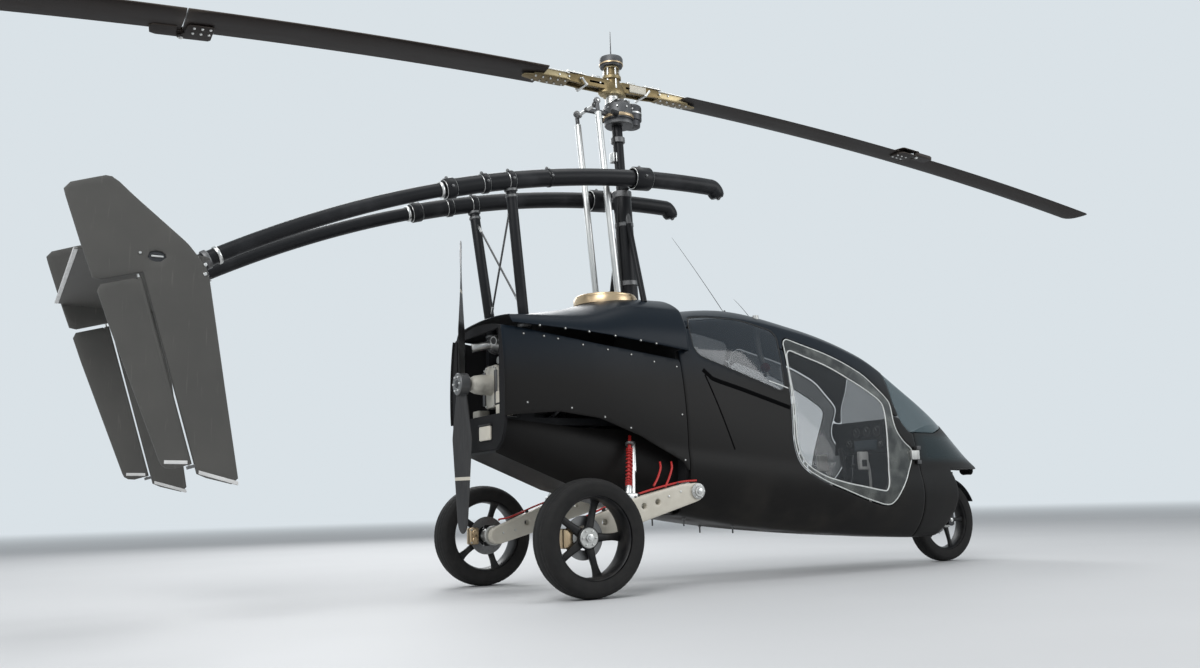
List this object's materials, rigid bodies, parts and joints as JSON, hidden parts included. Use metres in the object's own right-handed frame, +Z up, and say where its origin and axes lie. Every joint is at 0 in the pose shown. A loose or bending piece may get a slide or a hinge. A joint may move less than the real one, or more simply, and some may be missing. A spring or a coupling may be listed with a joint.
{
  "type": "flying car",
  "caption": "Two-seat gyroplane car on three wheels: teardrop cabin, mast and folding rotor, bent tail booms with twin fins, pusher propeller.",
  "frame": {"origin": "on the ground straight under the rotor hub, at the middle of the whole outline seen from above", "axes": "+X to the nose along the body, +Y to its left, +Z up"},
  "size_m": [9.1256, 1.483, 3.4301],
  "materials": {
    "body_black": "satin black paint",
    "glass_tint": "dark blue tint",
    "glass_clear": "clear",
    "inner_black": "matt",
    "bronze": "brushed bronze",
    "tube_black": "satin",
    "silver": "brushed",
    "dark_metal": "dark",
    "engine_grey": "cast",
    "cream_metal": "cream",
    "seat_black": "woven",
    "door_edge": "clear moulded edge",
    "blade_brown": "dark brown composite",
    "fin_grey": "matt dark grey",
    "prop_black": "satin",
    "tyre": "rubber",
    "rim_black": "satin black"
  },
  "bodies": {
    "airframe": {"hull": "body_black", "nose": "body_black", "roof": "body_black", "windscreen": "glass_tint", "rear_windows": "glass_tint", "engine_panel_left": "body_black", "engine_panel_right": "body_black", "firewall": "inner_black", "rear_ring": "inner_black", "rear_belly": "inner_black", "mast_cowl": "body_black", "mast_collar": "bronze", "mast": "tube_black", "mast_mount": "inner_black", "push_rods": "silver", "boom_tubes": "tube_black", "boom_posts": "tube_black", "bay_frame": "inner_black", "rotor_head": "dark_metal", "engine": "engine_grey", "gearbox": "silver", "silencer": "silver", "rear_arm_left": "cream_metal", "rear_arm_right": "cream_metal", "arm_pivots": "silver", "rear_shocks": "silver", "arch_liner": "inner_black", "seats": "seat_black", "instrument_panel": "inner_black"},
    "door_left": {"door_left": "door_edge", "door_window_left": "glass_clear"},
    "door_right": {"door_right": "door_edge", "door_window_right": "glass_clear"},
    "rotor": {"rotor_hub": "bronze", "blade_roots": "blade_brown"},
    "blade_front": {"blade_front": "blade_brown"},
    "blade_rear": {"blade_rear": "blade_brown"},
    "tail": {"tail_tubes": "tube_black", "stabiliser": "fin_grey", "fin_left": "fin_grey", "fin_right": "fin_grey"},
    "rudder_left": {"rudder_left": "fin_grey"},
    "rudder_right": {"rudder_right": "fin_grey"},
    "propeller": {"propeller": "prop_black"},
    "wheel_left": {"rear_tyre_left": "tyre", "rear_rim_left": "rim_black"},
    "wheel_right": {"rear_tyre_right": "tyre", "rear_rim_right": "rim_black"},
    "fork": {"front_fork": "silver"},
    "wheel_front": {"front_tyre": "tyre", "front_rim": "rim_black"}
  },
  "joints": [
    {"name": "rotor_spin", "type": "hinge", "parent": "airframe", "child": "rotor", "pos_m": [0, 0, 3.051], "axis": [0, 0, 1], "continuous": true},
    {"name": "blade_fold_front", "type": "hinge", "parent": "rotor", "child": "blade_front", "pos_m": [2.52906, -0.14146, 2.94265], "axis": [-0.0754, 0.0872, -0.9933], "range_deg": [0, 180]},
    {"name": "blade_fold_rear", "type": "hinge", "parent": "rotor", "child": "blade_rear", "pos_m": [-2.52906, 0.14146, 2.94265], "axis": [0.0754, -0.0872, -0.9933], "range_deg": [0, 180]},
    {"name": "tail_slide", "type": "hinge", "parent": "airframe", "child": "tail", "pos_m": [0.454, 0, -3.585], "axis": [0, 1, 0], "range_deg": [0, 10]},
    {"name": "rudder_left", "type": "hinge", "parent": "tail", "child": "rudder_left", "pos_m": [-2.531, 0.656, 0.64], "axis": [-0.274, 0, 0.9617], "range_deg": [-22, 22]},
    {"name": "rudder_right", "type": "hinge", "parent": "tail", "child": "rudder_right", "pos_m": [-2.531, -0.656, 0.64], "axis": [-0.274, 0, 0.9617], "range_deg": [-22, 22]},
    {"name": "prop_spin", "type": "hinge", "parent": "airframe", "child": "propeller", "pos_m": [-1.032, 0, 1.142], "axis": [1, 0, 0], "continuous": true},
    {"name": "wheel_left_spin", "type": "hinge", "parent": "airframe", "child": "wheel_left", "pos_m": [-0.624, 0.662, 0.3], "axis": [0, 1, 0], "continuous": true},
    {"name": "wheel_right_spin", "type": "hinge", "parent": "airframe", "child": "wheel_right", "pos_m": [-0.624, -0.662, 0.3], "axis": [0, 1, 0], "continuous": true},
    {"name": "steer", "type": "hinge", "parent": "airframe", "child": "fork", "pos_m": [2.638, 0, 0.6], "axis": [0, 0, 1], "range_deg": [-35, 35]},
    {"name": "wheel_front_spin", "type": "hinge", "parent": "fork", "child": "wheel_front", "pos_m": [2.638, 0, 0.286], "axis": [0, 1, 0], "continuous": true},
    {"name": "door_left_swing", "type": "hinge", "parent": "airframe", "child": "door_left", "pos_m": [2.092, 0.342, 0.73], "axis": [0, 0, -1], "range_deg": [0, 60]},
    {"name": "door_right_swing", "type": "hinge", "parent": "airframe", "child": "door_right", "pos_m": [2.092, -0.342, 0.73], "axis": [0, 0, 1], "range_deg": [0, 60]}
  ],
  "couplings": [
    {"joint": "rudder_right", "follows": "rudder_left", "ratio": 1}
  ]
}
